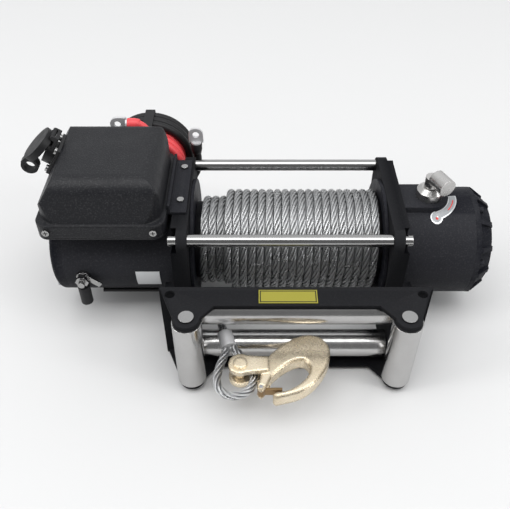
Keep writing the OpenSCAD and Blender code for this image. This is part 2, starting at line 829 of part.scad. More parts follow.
module gear_end_cap() {
  color("#2f3036") difference() {
    union() {
      rod_x(gear_end, gear_end + cap_flange, gear_r);
      along_x(gear_end + cap_flange) cylinder(h = gear_cap_l - cap_flange,
        r1 = gear_r - rib_h, r2 = gear_cap_d / 2 - rib_h);
      rod_x(hub_bearing_x, gear_end + cap_flange, hub_bearing_r + cap_flange);
      intersection() {
        along_x(gear_end) for (k = [0:rib_count - 1]) rotate([0, 0, k * 360 / rib_count])
          translate([0, -rib_w / 2, 0]) cube([gear_r, rib_w, gear_cap_l]);
        along_x(gear_end) cylinder(h = gear_cap_l, r1 = gear_r + gear_wall, r2 = gear_cap_d / 2);
        rod_x(gear_end, gear_end + gear_cap_l, gear_r);
      }
    }
    rod_x(hub_bearing_x - cut, hub_bearing_x + hub_bearing_l + 2 * cut, hub_bearing_r + fit_gap);
    gear_bolts(gear_end - cut, gear_end + cap_flange + cut, gear_bolt_d / 2 + fit_gap);
    gear_bolts(gear_end + cap_flange, gear_end + gear_cap_l + cut, gear_head_r + run_gap);
  }
}

module end_cap_bolts() {
  color("#8d9094") {
    gear_bolts(gear_x - gear_bolt_in + cut, gear_end + cap_flange + cut, gear_bolt_d / 2);
    gear_bolts(gear_end + cap_flange, gear_end + cap_flange + gear_bolt_d, gear_head_r);
  }
}

module toothed(n, zero, low, high, turn) {
  polygon(gear_points(n, zero, low, high, turn));
}

module gear_blank(x, l) {
  along_x(x) linear_extrude(l) children();
}

module drum_ring() {
  zero = involute(drum_pa) + planet_n / drum_n
    * (gear_zero(planet_n, 0) - involute(drum_pa)) + flank_angle(ring_tip);
  color("#8f9296") {
    difference() {
      rod_x(web_x, drum_ring_end, ring_r);
      gear_blank(web_x + web_t, drum_ring_l + cut)
        toothed(drum_n, zero, ring_tip, ring_root, 180 / drum_n);
      rod_x(web_x - cut, web_x + web_t + cut, spigot_r + fit_gap);
    }
  }
}

module clutch_ring() {
  zero = gear_zero(fixed_n, flank_angle(ring_tip));
  color("#8f9296") difference() {
    rod_x(clutch_ring_x, shoulder_x - run_gap, ring_r);
    gear_blank(clutch_ring_x - cut, planet_l) toothed(fixed_n, zero, ring_tip, ring_root, 180 / fixed_n);
    translate([clutch_at, 0, axis_h]) for (k = [0:notch_count - 1]) rotate([k * 360 / notch_count, 0, 0])
      translate([0, 0, ring_r - notch_depth]) cylinder(h = 2 * notch_depth, r = clutch_pin_d / 2 + run_gap);
  }
}

module drive_shaft() {
  zero = gear_zero(sun_n, -flank_angle(sun_tip));
  color("#a3a6aa") {
    rod_x(coupling_x + coupling_l, hub_bearing_x + hub_bearing_l, drive_r);
    ring_x(coupling_x, coupling_x + coupling_l, coupling_r, shaft_r + fit_gap);
    rod_x(shaft_tip + fit_gap, coupling_x + coupling_l + cut, coupling_r);
    gear_blank(planet_x, planet_l) toothed(sun_n, zero, sun_root, sun_tip, 0);
  }
}

module planet(k) {
  zero = gear_zero(planet_n, -flank_angle(planet_tip));
  color("#9b9ea3") along_x(planet_x) rotate([0, 0, k * 360 / planet_count]) translate([center_d, 0, 0])
    difference() {
      linear_extrude(planet_l) toothed(planet_n, zero, planet_root, planet_tip, 180 / planet_n);
      translate([0, 0, -cut]) cylinder(h = planet_l + 2 * cut, r = planet_pin_d / 2 + turn_gap);
    }
}

module planet_carrier() {
  color("#85888d") difference() {
    union() {
      rod_x(carrier_x, carrier_x + carrier_t, center_d + planet_pin_d);
      rod_x(plate_x, plate_x + carrier_t, center_d + planet_pin_d);
      rod_x(plate_x, hub_bearing_x + hub_bearing_l, carrier_hub_r);
      along_x(carrier_x) for (k = [0:planet_count - 1]) rotate([0, 0, k * 360 / planet_count])
        translate([center_d, 0, 0]) cylinder(h = plate_x - carrier_x + carrier_t, r = planet_pin_d / 2);
    }
    rod_x(carrier_x - cut, plate_x - cut, sun_tip + run_gap);
    rod_x(plate_x - cut, hub_bearing_x + hub_bearing_l + cut, drive_r + turn_gap);
  }
}

module clutch_pin() {
  low = axis_h + ring_r - notch_depth + run_gap;
  color("#a3a6aa") translate([clutch_at, 0, low]) cylinder(h = pad_z + pin_rise - low, r = clutch_pin_d / 2);
}

module clutch_base() {
  color("#d2d4d7") translate([clutch_at, 0, pad_z]) difference() {
    union() {
      cylinder(h = clutch_base_h - dome_h, r = clutch_base_d / 2);
      translate([0, 0, clutch_base_h - dome_h])
        cylinder(h = dome_h, r1 = clutch_base_d / 2, r2 = clutch_base_d / 2 - dome_h);
    }
    translate([0, 0, -cut]) cylinder(h = clutch_base_h - 2 * cut, r = clutch_pin_d / 2 + turn_gap);
    cylinder(h = clutch_base_h + cut, r = stem_r + turn_gap);
  }
}

module clutch_lever() {
  top = clutch_base_h + run_gap;
  color("#d2d4d7") translate([clutch_at, 0, pad_z]) {
    translate([0, 0, clutch_base_h - stem_in]) cylinder(h = top - clutch_base_h + stem_in + cut, r = stem_r);
    translate([0, 0, top]) cylinder(h = lever_h - top, r = neck_r);
    translate([0, 0, lever_h]) rotate([0, 90, lever_a]) translate([0, lever_side, lever_out])
      cylinder(h = lever_l, r = lever_d / 2);
  }
}

module clutch_plate() {
  color("#b9bbbe") intersection() {
    translate([clutch_at, 0, axis_h]) linear_extrude(gear_r + 2 * plate_t) {
      difference() {
        intersection() {
          circle(r = plate_r);
          polygon(concat([[0, 0]],
            [for (a = [plate_from, (plate_from + plate_to) / 2, plate_to]) polar(2 * plate_r, a)]));
        }
        circle(r = pad_w / 2 + fit_gap);
      }
      translate(lobe_at) circle(r = lobe_r);
    }
    ring_x(gear_x, gear_end, gear_r + plate_t, gear_r + fit_gap);
  }
}

module round_plan(x0, x1, half, r) {
  translate([x0, r - half]) square([x1 - x0, 2 * (half - r)]);
  translate([x0 + r, -half]) square([x1 - x0 - 2 * r, 2 * half]);
  for (x = [x0 + r, x1 - r], y = [r - half, half - r]) translate([x, y]) circle(r = r);
}

module crown_profile(e) {
  front = [box_step + box_lean - box_w / 2, box_z1 - box_r];
  rear = [box_w / 2 - box_step - box_lean_rear, box_z1 - box_r_rear];
  p = [box_w / 2 - box_step - e, lip_z];
  a = tangent([-p.x, p.y], front, box_r - e, -1);
  b = tangent(p, rear, box_r_rear - e, 1);
  polygon([[-p.x, box_z0 - cut], [p.x, box_z0 - cut], p, b, rear, [rear.x, box_z1 - e],
    [front.x, box_z1 - e], front, a, [-p.x, p.y]]);
  translate(front) circle(r = box_r - e);
  translate(rear) circle(r = box_r_rear - e);
}

module end_profile(e) {
  run = (face_rise - e * (1 - cos(socket_tilt))) / sin(socket_tilt);
  low = [face_x + e * sin(socket_tilt), box_z1 - face_rise - e * cos(socket_tilt)];
  p = [box_x1 - box_step - e, box_z0 - cut];
  c = [box_x1 - box_step - box_draft - end_r, box_z1 - end_r];
  polygon([[box_x0 + box_step + e, box_z0 - cut], low, low + run * [cos(socket_tilt), sin(socket_tilt)],
    [c.x, box_z1 - e], tangent(p, c, end_r - e, 1), p]);
  if (e == 0) translate(c) circle(r = end_r);
}

module box_form(e) {
  translate([0, 0, box_z0 - cut]) linear_extrude(lip_h - e + cut)
    round_plan(box_x0 + e, box_x1 - e, box_w / 2 - e, box_corner - e);
  intersection() {
    plate_yz(box_x0, box_l) crown_profile(e);
    translate([0, box_w, 0]) rotate([90, 0, 0]) linear_extrude(2 * box_w) end_profile(e);
    translate([0, 0, box_z0 - cut]) linear_extrude(2 * box_h)
      round_plan(box_x0 + box_step + e, box_x1 - box_step - e, box_w / 2 - box_step - e, crown_corner - e);
  }
}

module at_socket() {
  translate(socket_at) rotate([0, -socket_tilt, 0]) children();
}

module socket_holes(h) {
  at_socket() for (x = [-1, 1], y = [-1, 1])
    translate([x, y, 0] * (socket_sq / 2 - head_r) + [0, 0, -2 * box_wall])
      cylinder(h = h, r = screw_r + fit_gap);
}

module lip_holes() {
  for (x = [box_x0 + box_screw_in, box_x1 - box_screw_in]) translate([x, box_w, box_z0 + box_screw_h])
    rotate([90, 0, 0]) cylinder(h = 2 * box_w, r = screw_r + fit_gap);
}

module control_box_cover() {
  color("#2b2c31") difference() {
    union() {
      difference() {
        box_form(0);
        box_form(box_wall);
        translate([box_x0 - cut, -box_w, box_z0 - 2 * cut]) cube([box_l + 2 * cut, 2 * box_w, 2 * cut]);
      }
      for (x = gland_x) translate([x, box_w / 2 - box_wall, box_z0 + gland_h]) rotate([-90, 0, 0])
        cylinder(h = gland_l + box_wall, r = gland_r);
      translate([coil_at.x - tie_w / 2, box_w / 2 - cut, box_z0 + hanger_in])
        cube([tie_w, coil_at.y - tie_t - 2 * fit_gap - box_w / 2 + cut, hanger_h]);
    }
    lip_holes();
    socket_holes(4 * box_wall);
  }
}

module control_box_base() {
  color("#26272b") difference() {
    union() {
      translate([0, 0, box_z0 - floor_t]) linear_extrude(floor_t)
        round_plan(box_x0, box_x1, box_w / 2, box_corner);
      translate([box_x0 + saddle_in, -saddle_w / 2, box_z0 - floor_t - saddle_drop])
        cube([box_l - 2 * saddle_in, saddle_w, saddle_drop + cut]);
      for (s = [-1, 1])
        translate([box_x0 + box_corner, s * (tray_y - floor_t / 2) - floor_t / 2, box_z0 - cut])
          cube([box_l - 2 * box_corner, floor_t, lip_h - box_wall - cut]);
    }
    rod_x(box_x0 - cut, box_x1 + cut, motor_r + fit_gap);
    lip_holes();
  }
}

module box_screws() {
  color("#c6c8cb") {
    for (x = [box_x0 + box_screw_in, box_x1 - box_screw_in], s = [-1, 1])
      translate([x, s * (box_w / 2), box_z0 + box_screw_h]) rotate([-s * 90, 0, 0])
        pan_screw(2 * box_wall + 2 * cut);
    at_socket() for (x = [-1, 1], y = [-1, 1])
      translate([x, y, 0] * (socket_sq / 2 - head_r) + [0, 0, socket_t]) pan_screw(socket_t + 2 * box_wall);
  }
}

module pan_screw(l) {
  cylinder(h = box_head_t, r = head_r);
  translate([0, 0, -l]) cylinder(h = l + cut, r = screw_r);
}

module contactor() {
  color("#3b3d42") translate([relay_at.x, relay_at.y, box_z0]) {
    cube([relay_l, relay_w, relay_h]);
    for (x = [relay_post_in, relay_l - relay_post_in]) translate([x, relay_w / 2, 0])
      cylinder(h = relay_h + relay_post_h, r = relay_post_r);
  }
}

module remote_socket() {
  ear_y = hinge_w / 2 + run_gap;
  shelf_z = cap_z - hinge_r - run_gap;
  color("#1f2023") at_socket() difference() {
    union() {
      translate([-socket_sq / 2, -socket_sq / 2, 0]) cube([socket_sq, socket_sq, socket_t]);
      cylinder(h = cap_z, r = socket_d / 2);
      translate([0, -ear_y - ear_t, shelf_z - ear_base])
        cube([cap_hinge + hinge_r, 2 * (ear_y + ear_t), ear_base]);
      for (y = [-ear_y - ear_t, ear_y]) translate([cap_hinge, y, 0]) {
        translate([-hinge_r, 0, shelf_z - cut]) cube([2 * hinge_r, ear_t, cap_z - shelf_z + cut]);
        translate([0, ear_t, cap_z]) rotate([90, 0, 0]) cylinder(h = ear_t, r = hinge_r);
      }
      translate([cap_hinge, ear_y + cut, cap_z]) rotate([90, 0, 0])
        cylinder(h = 2 * (ear_y + cut), r = hinge_pin_r);
    }
    translate([0, 0, socket_t]) cylinder(h = cap_z, r = socket_bore_d / 2);
    for (x = [-1, 1], y = [-1, 1]) translate([x, y, 0] * (socket_sq / 2 - head_r) + [0, 0, -cut])
      cylinder(h = socket_t + 2 * cut, r = screw_r + fit_gap);
  }
}

module socket_cap() {
  color("#1b1c1f") at_socket() translate([cap_hinge, 0, cap_z]) rotate([0, cap_open, 0]) difference() {
    union() {
      translate([-cap_hinge, 0, run_gap]) cylinder(h = sock_cap_t, r = sock_cap_d / 2);
      translate([-cap_hinge, 0, -skirt_h]) cylinder(h = skirt_h + run_gap + cut, r = sock_cap_d / 2);
      rotate([90, 0, 0]) cylinder(h = hinge_w, r = hinge_r, center = true);
      translate([-cap_hinge, -hinge_w / 2, run_gap]) cube([cap_hinge, hinge_w, hinge_r]);
      translate([loop_at.x - cap_hinge - sock_cap_d / 2, 0, 0]) {
        translate([0, loop_w / 2, loop_at.y]) rotate([90, 0, 0]) cylinder(h = loop_w, r = loop_r);
        translate([-loop_t, -loop_w / 2, run_gap]) cube([loop_t - loop_at.x + skirt_gap, loop_w, loop_t]);
      }
    }
    translate([-cap_hinge, 0, -skirt_h - cut])
      cylinder(h = skirt_h + cut + run_gap, r = socket_d / 2 + skirt_gap);
    rotate([90, 0, 0]) cylinder(h = 2 * hinge_w, r = hinge_pin_r + turn_gap, center = true);
    translate([loop_at.x - cap_hinge - sock_cap_d / 2, loop_w, loop_at.y]) rotate([90, 0, 0])
      cylinder(h = 2 * loop_w, r = loop_bore);
  }
}

module box_strap() {
  color("#33343a") difference() {
    union() {
      translate([box_x1 + fit_gap, strap_from, support_h])
        cube([strap_x + strap_w / 2 - box_x1 - fit_gap, strap_to - strap_from, strap_t]);
      translate([box_x1 + fit_gap, strap_from, support_h])
        cube([strap_t, strap_to - strap_from, 4 * strap_t]);
    }
    for (y = strap_screw_y) translate([strap_x, y, support_h - cut])
      cylinder(h = strap_t + 2 * cut, r = screw_r + fit_gap);
  }
}

module strap_screws() {
  color("#c6c8cb") for (y = strap_screw_y) translate([strap_x, y, support_h + strap_t])
    pan_screw(strap_screw_l);
}

module flange_profile() {
  difference() {
    union() {
      polygon([[lead_x - lead_w / 2, lead_y], [lead_x + lead_w / 2, lead_y],
        [upright_x[1] + ear_r, upright_at], [upright_x[1] - ear_r, upright_at],
        [upright_x[1] - 2 * ear_r, lead_y - lead_depth], [upright_x[0] + 2 * ear_r, lead_y - lead_depth],
        [upright_x[0] + ear_r, upright_at], [upright_x[0] - ear_r, upright_at]]);
      for (x = upright_x) translate([x, upright_at]) circle(r = ear_r);
    }
    for (x = upright_x) translate([x, upright_at]) circle(r = upright_pin_d / 2 + fit_gap);
  }
}

module fairlead_frame() {
  color("#2a2b30") difference() {
    union() {
      translate([0, 0, lead_z]) linear_extrude(lead_t) flange_profile();
      translate([0, 0, lead_h - lead_t]) linear_extrude(lead_t) difference() {
        flange_profile();
        for (s = [-1, 1]) translate([lead_x + s * lead_hole_pitch / 2, lead_hole_y])
          circle(r = lead_hole_d / 2);
      }
      translate([lead_x - lead_w / 2, lead_y - lead_t, lead_z]) cube([lead_w, lead_t, lead_h - lead_z]);
      for (s = [0, 1]) translate([tab_x[s] - (1 - s) * lead_t, lead_y - lead_depth, lead_z])
        cube([lead_t, lead_depth, lead_h - lead_z]);
    }
    translate([tab_x[0], lead_y - lead_depth - cut, lead_z + lead_t])
      cube([tab_x[1] - tab_x[0], 2 * lead_depth, lead_h - lead_z - 2 * lead_t]);
    for (z = level_at_z) translate([0, level_at, z - axis_h])
      rod_x(tab_x[0] - 2 * lead_t, tab_x[1] + 2 * lead_t, level_pin_d / 2 + fit_gap);
    for (s = [-1, 1]) translate([lead_x + s * lead_pitch / 2, lead_y + cut, lead_bolt_h]) rotate([90, 0, 0])
      cylinder(h = lead_t + 2 * cut, r = lead_bolt_d / 2 + fit_gap);
  }
}

module fairlead_bolts() {
  color("#8d9094") for (s = [-1, 1]) translate([lead_x + s * lead_pitch / 2, lead_y - lead_t, lead_bolt_h])
    rotate([-90, 0, 0]) {
      cylinder(h = lead_t + lead_bolt_l - cut, r = lead_bolt_d / 2);
      translate([0, 0, -lead_head_t]) cylinder(h = lead_head_t, r = lead_head_r, $fn = 6);
    }
}

module upright_roller(x) {
  color("#c3c5c8") translate([x, upright_at, upright_z0]) difference() {
    cylinder(h = upright_z1 - upright_z0, r = roller_r);
    translate([0, 0, -cut]) cylinder(h = lead_h, r = upright_pin_d / 2 + turn_gap);
  }
}

module level_roller(z) {
  color("#c3c5c8") translate([0, level_at, z - axis_h])
    ring_x(lead_x - level_l / 2, lead_x + level_l / 2, roller_r, level_pin_d / 2 + turn_gap);
}

module roller_pins() {
  color("#cfd1d4") {
    for (x = upright_x) translate([x, upright_at, 0]) {
      translate([0, 0, lead_z - clip_t])
        cylinder(h = lead_h - lead_z + clip_t + cut, r = upright_pin_d / 2);
      for (z = [lead_h, lead_z - clip_t]) translate([0, 0, z])
        cylinder(h = clip_t, r = upright_pin_d / 2 + 3 * clip_lip);
    }
    for (z = level_at_z) translate([0, level_at, z - axis_h]) {
      rod_x(tab_x[0] - lead_t - clip_t, tab_x[1] + lead_t + clip_t, level_pin_d / 2);
      for (x = [tab_x[0] - lead_t - clip_t, tab_x[1] + lead_t])
        rod_x(x, x + clip_t, level_pin_d / 2 + clip_lip);
    }
  }
}

module roller_washers() {
  color("#1d1e21") {
    for (x = upright_x, z = [lead_z + lead_t, lead_h - lead_t - washer_t]) translate([x, upright_at, z])
      difference() {
        cylinder(h = washer_t, r = roller_r - cut);
        translate([0, 0, -cut]) cylinder(h = washer_t + 2 * cut, r = upright_pin_d / 2 + fit_gap);
      }
    for (z = level_at_z, x = [tab_x[0], tab_x[1] - washer_t]) translate([0, level_at, z - axis_h])
      ring_x(x, x + washer_t, roller_r - 2 * cut, level_pin_d / 2 + fit_gap);
  }
}

module fairlead_plate() {
  color("#dcd24a") translate([lead_x + tag_x, lead_y - lead_depth / 2 - cut, lead_h])
    translate([-tag_l / 2, -tag_w / 2, 0]) cube([tag_l, tag_w, tag_t]);
}

module clevis_pin() {
  color("#bfa76a") translate([clevis_at.x, clevis_at.y, hook_z]) {
    cylinder(h = fork_gap + 2 * cheek_t + 2 * cut, r = clevis_d / 2, center = true);
    for (s = [-1, 1]) translate([0, 0, s * (fork_gap / 2 + cheek_t + cut)])
      cylinder(h = 2 * cut, r = clevis_d / 2 + 2, center = true);
  }
}

module hook() {
  outline = smooth_loop(hook_route, 2);
  color("#cdb98a") difference() {
    union() {
      translate([0, 0, hook_z - hook_t / 2]) linear_extrude(hook_t) polygon(inset(outline, hook_edge / 2));
      translate([0, 0, hook_z - hook_t / 2 + hook_edge])
        linear_extrude(hook_t - 2 * hook_edge) polygon(outline);
      for (z = [-fork_gap / 2 - cheek_t, fork_gap / 2]) translate([0, 0, hook_z + z]) {
        translate(clevis_at) cylinder(h = cheek_t, r = cheek_r);
        linear_extrude(cheek_t)
          polygon(concat([clevis_at + [0, cheek_r - cut]], fork_root, [clevis_at - [0, cheek_r - cut]]));
      }
      translate([0, 0, hook_z - fork_gap / 2 - cheek_t]) linear_extrude(fork_gap + 2 * cheek_t)
        polygon(concat([fork_throat[0]], fork_root, [fork_throat[1]]));
    }
    translate([clevis_at.x, clevis_at.y, 0]) cylinder(h = 2 * hook_z, r = clevis_d / 2 + fit_gap);
    translate([latch_at.x, latch_at.y, 0]) cylinder(h = 2 * hook_z, r = latch_pin_d / 2 + fit_gap);
    translate([latch_at.x, latch_at.y, hook_z - latch_w / 2 - run_gap])
      cylinder(h = latch_w + 2 * run_gap, r = lug_r + latch_t);
    translate([latch_at.x, latch_at.y - 2 * lug_r, hook_z - latch_w / 2 - run_gap])
      cube([latch_l - lug_r, 4 * lug_r, latch_w + 2 * run_gap]);
  }
}

module hook_latch() {
  color("#8a7048") translate([latch_at.x, latch_at.y, hook_z - latch_w / 2]) difference() {
    union() {
      cylinder(h = latch_w, r = lug_r - cut);
      translate([0, -latch_t / 2, 0]) cube([latch_l, latch_t, latch_w]);
    }
    translate([0, 0, -cut]) cylinder(h = latch_w + 2 * cut, r = latch_pin_d / 2 + turn_gap);
  }
}

module latch_pin() {
  color("#9a9ca0") translate([latch_at.x, latch_at.y, hook_z])
    cylinder(h = hook_t, r = latch_pin_d / 2, center = true);
}

module red_lead() {
  color("#c8242c") for (p = [red_in_route, red_out_route]) swept(p, cable_d / 2, 10, [1, -1, 0]);
}

module black_lead() {
  color("#1d1e20") for (p = [black_in_route, black_out_route]) swept(p, cable_d / 2, 10, [1, -1, 0]);
}

module coil_ring(r, d) {
  translate(coil_at) rotate([-90, 0, 0]) rotate_extrude($fn = 96) {
    translate([r, d / 2]) square([d, coil_w - d]);
    for (y = [d / 2, coil_w - d / 2]) translate([r + d / 2, y]) circle(r = d / 2);
  }
}

module red_coil() {
  color("#c8242c") coil_ring(coil_r, cable_d - fit_gap);
}

module black_coil() {
  color("#1d1e20") coil_ring(red_r, cable_d);
}

module coil_tie() {
  top = coil_at.z + black_r;
  color("#17181a") difference() {
    translate([coil_at.x - tie_w / 2, coil_at.y - tie_t - fit_gap, top - tie_h])
      cube([tie_w, coil_w + 2 * tie_t + 2 * fit_gap, tie_h + tie_t]);
    translate([coil_at.x - tie_w, coil_at.y - fit_gap, top + tie_t - tie_h])
      cube([2 * tie_w, coil_w + 2 * fit_gap, tie_h - tie_t + fit_gap]);
  }
}

module cable_lug() {
  translate([0, 0, fit_gap]) difference() {
    union() {
      cylinder(h = lug_l, r = lug_barrel);
      translate([-lug_r_out, -lug_t / 2, lug_l - cut]) cube([2 * lug_r_out, lug_t, lug_r_out + 2 * cut]);
      translate([0, lug_t / 2, lug_l + lug_r_out + cut]) rotate([90, 0, 0])
        cylinder(h = lug_t, r = lug_r_out);
    }
    translate([0, lug_t, lug_l + lug_r_out + cut]) rotate([90, 0, 0])
      cylinder(h = 2 * lug_t, r = lug_hole_d / 2);
  }
}

module cable_lugs() {
  color("#b9bbbe") {
    translate(lug_from[0]) rotate([90, 0, -90]) rotate([0, 0, 90]) cable_lug();
    translate(lug_from[1]) cable_lug();
  }
}

// Piece to draw

motor_support();
gear_support();
tie_bars();
tie_bar_screws();
drum_bushes();
drum();
rope_winding();
rope_lead();
rope_ferrule();
rope_eye();
motor_can();
motor_end_cap();
through_bolts();
field_poles();
brush_holder();
armature();
shaft_bearings();
motor_terminal();
motor_cable();
gear_housing();
gear_end_cap();
end_cap_bolts();
drum_ring();
clutch_ring();
drive_shaft();
planet(0);  // planet_1
planet(1);  // planet_2
planet(2);  // planet_3
planet_carrier();
clutch_pin();
clutch_base();
clutch_lever();
clutch_plate();
control_box_cover();
control_box_base();
box_screws();
contactor();
remote_socket();
socket_cap();
box_strap();
strap_screws();
fairlead_frame();
fairlead_bolts();
upright_roller(upright_x[0]);  // left_roller
upright_roller(upright_x[1]);  // right_roller
level_roller(level_at_z[0]);  // lower_roller
level_roller(level_at_z[1]);  // upper_roller
roller_pins();
roller_washers();
fairlead_plate();
clevis_pin();
hook();
hook_latch();
latch_pin();
red_lead();
black_lead();
red_coil();
black_coil();
coil_tie();
cable_lugs();
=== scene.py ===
import json
import math

import bpy
import numpy as np
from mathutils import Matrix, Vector


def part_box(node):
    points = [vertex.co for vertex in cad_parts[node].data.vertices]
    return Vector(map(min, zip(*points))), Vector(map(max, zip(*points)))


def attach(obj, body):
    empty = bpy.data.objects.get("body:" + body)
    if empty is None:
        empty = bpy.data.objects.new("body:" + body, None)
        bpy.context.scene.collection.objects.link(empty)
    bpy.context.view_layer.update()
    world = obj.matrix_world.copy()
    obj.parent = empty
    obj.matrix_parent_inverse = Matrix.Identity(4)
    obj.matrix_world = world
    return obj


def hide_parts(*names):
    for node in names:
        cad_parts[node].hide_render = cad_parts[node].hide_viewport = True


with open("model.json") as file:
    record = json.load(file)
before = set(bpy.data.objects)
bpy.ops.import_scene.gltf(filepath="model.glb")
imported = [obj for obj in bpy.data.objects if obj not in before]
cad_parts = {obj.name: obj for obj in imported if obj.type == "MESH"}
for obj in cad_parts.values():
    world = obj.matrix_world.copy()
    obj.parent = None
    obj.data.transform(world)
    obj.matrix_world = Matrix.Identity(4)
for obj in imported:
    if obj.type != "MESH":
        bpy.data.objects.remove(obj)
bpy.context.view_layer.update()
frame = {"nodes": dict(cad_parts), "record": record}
nodes = frame["nodes"]
scene = bpy.context.scene

MM = 0.001
TURN = 2 * math.pi
AXIS_Z = 84 * MM  # height of the axis that drum, motor and gears share

# Camera at the photograph's angle

cam_data = bpy.data.cameras.new("camera")
cam_data.sensor_width = 36.0
cam_data.lens = 45.3
cam = bpy.data.objects.new("camera", cam_data)
cam.location = (-0.0384, -0.5892, 0.6167)
cam.rotation_euler = (math.radians(46.5), 0.0, 0.0)
scene.collection.objects.link(cam)
scene.camera = cam
scene.view_settings.view_transform = "Standard"


# Geometry helpers

UV_ALONG = 100  # units of a sweep's UV map for each metre along it
UV_AROUND = 10  # and for one turn around it
STRAND_STEPS = 8  # corners of a rope's section for each strand
GROOVE_SHARE = 0.66  # radius at the bottom of a rope's groove, as a share of the rope's


def mm(values):
    return np.array(values, float) * MM


def about_axis(x, r, a):
    return (x, r * math.cos(a), AXIS_Z + r * math.sin(a))


def piece(name, verts, faces, body="base", smooth=True):
    me = bpy.data.meshes.new(name)
    me.from_pydata([tuple(map(float, v)) for v in verts], [], faces)
    me.polygons.foreach_set("use_smooth", [smooth] * len(me.polygons))
    me.update()
    ob = bpy.data.objects.new(name, me)
    scene.collection.objects.link(ob)
    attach(ob, body)
    return ob


def tube_faces(rings, sides):
    """Faces of a closed tube whose points come ring by ring."""
    f = []
    for i in range(rings - 1):
        a, b = i * sides, (i + 1) * sides
        for j in range(sides):
            k = (j + 1) % sides
            f.append((a + j, a + k, b + k, b + j))
    f.append(tuple(range(sides - 1, -1, -1)))
    f.append(tuple((rings - 1) * sides + j for j in range(sides)))
    return f


def spline(points, step):
    """Points about `step` apart on a smooth curve through the given ones."""
    p = np.asarray(points, float)
    p = np.vstack([2 * p[0] - p[1], p, 2 * p[-1] - p[-2]])
    out = []
    for i in range(1, len(p) - 2):
        a, b, c, d = p[i - 1:i + 3]
        n = max(2, int(np.linalg.norm(c - b) / step))
        for t in np.arange(n) / n:
            out.append(0.5 * (2 * b + (c - a) * t + (2 * a - 5 * b + 4 * c - d) * t ** 2
                              + (3 * b - a - 3 * c + d) * t ** 3))
    out.append(p[-2])
    return np.array(out)


def cross_axes(p):
    """Normal and binormal along a line, with as little turning as can be."""
    t = np.gradient(p, axis=0)
    t /= np.linalg.norm(t, axis=1)[:, None]
    n = np.zeros_like(p)
    ref = np.array([0.0, 0.0, 1.0]) if abs(t[0][2]) < 0.9 else np.array([1.0, 0.0, 0.0])
    n[0] = ref - t[0] * ref.dot(t[0])
    n[0] /= np.linalg.norm(n[0])
    for i in range(1, len(p)):
        v = n[i - 1] - t[i] * n[i - 1].dot(t[i])
        n[i] = v / np.linalg.norm(v)
    return n, np.cross(t, n)


def rope_section(radius, strands):
    """Angles and radii of a section with one round lobe for each strand."""
    half = math.pi / strands
    local = np.linspace(-half, half, STRAND_STEPS, endpoint=False)
    centre = radius / (1 + math.sin(half))
    strand = radius - centre
    lobe = centre * np.cos(local) + np.sqrt(
        np.maximum(strand ** 2 - (centre * np.sin(local)) ** 2, 0))
    angles = np.concatenate([local + 2 * half * k for k in range(strands)])
    return angles, np.tile(np.maximum(lobe, GROOVE_SHARE * radius), strands)


def sweep(name, p, radius, body="base", strands=0, lay=0.0, sides=14, phase=0.0):
    """A tube along a line. With strands it is a rope, and `lay` is the length of their turn."""
    n, b = cross_axes(p)
    s = np.concatenate([[0], np.cumsum(np.linalg.norm(np.diff(p, axis=0), axis=1))])
    if strands:
        ang, rad = rope_section(radius, strands)
    else:
        ang, rad = np.linspace(0, TURN, sides, endpoint=False), np.full(sides, radius)
    k = len(ang)
    turn = ang[None, :] + phase + (TURN * s / lay if lay else 0 * s)[:, None]
    v = (p[:, None, :] + n[:, None, :] * (np.cos(turn) * rad)[:, :, None]
         + b[:, None, :] * (np.sin(turn) * rad)[:, :, None]).reshape(-1, 3)
    ob = piece(name, v, tube_faces(len(p), k), body)
    uv = ob.data.uv_layers.new(name="along")
    vi = np.zeros(len(ob.data.loops), dtype=np.int64)
    ob.data.loops.foreach_get("vertex_index", vi)
    places = np.stack([s[vi // k] * UV_ALONG, (vi % k) / k * UV_AROUND], 1)
    uv.data.foreach_set("uv", places.astype(np.float32).ravel())
    return ob, float(s[-1])


def lathe(name, profile, origin, axis, body="base", sides=48):
    """A turned piece: profile holds (distance along the axis, radius)."""
    q = Vector((0, 0, 1)).rotation_difference(Vector(axis).normalized())
    v = []
    for z, r in profile:
        for j in range(sides):
            a = TURN * j / sides
            v.append(Vector(origin) + q @ Vector((r * math.cos(a), r * math.sin(a), z)))
    return piece(name, v, tube_faces(len(profile), sides), body)


# The wire rope: two layers of turns over a plain core, the free end and the eye

ROPE_R = 4.7 * MM
ROPE_STEP = 0.002  # between the points of the free end and the eye
STRANDS = 6
WIRES = 42
LAY = 62 * MM
WIND_R = 57.17 * MM
WIND_LOW = 49.03 * MM
WIND_X = -108.55 * MM
WIND_STEP = 0.0042
PITCH = 9.44 * MM
TURNS = 23
SHORT = 4  # turns at the motor's end that the outer layer leaves free
OUTER_FROM = SHORT - 0.55
INNER_TO = SHORT + 0.5
INNER_PHASE = 0.4
CORE = [(0, 47), (38, 47), (39, 55), (216, 55)]


def winding(first, last, r):
    u = np.linspace(first, last, int((last - first) * TURN * r / WIND_STEP))
    return np.array([about_axis(WIND_X + PITCH * (k + 0.5), r, -TURN * k) for k in u])


rope_outer, _ = sweep("rope_outer_layer", winding(OUTER_FROM, TURNS - 1, WIND_R), ROPE_R, "drum",
                      STRANDS, LAY)
rope_inner, _ = sweep("rope_inner_layer", winding(0, INNER_TO, WIND_LOW), ROPE_R, "drum",
                      STRANDS, LAY, phase=INNER_PHASE)
rope_core = lathe("rope_core", mm(CORE), (WIND_X + 0.5 * MM, 0, AXIS_Z), (1, 0, 0), "drum", 64)
for ob in (rope_outer, rope_inner, rope_core):
    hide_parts("rope_winding")

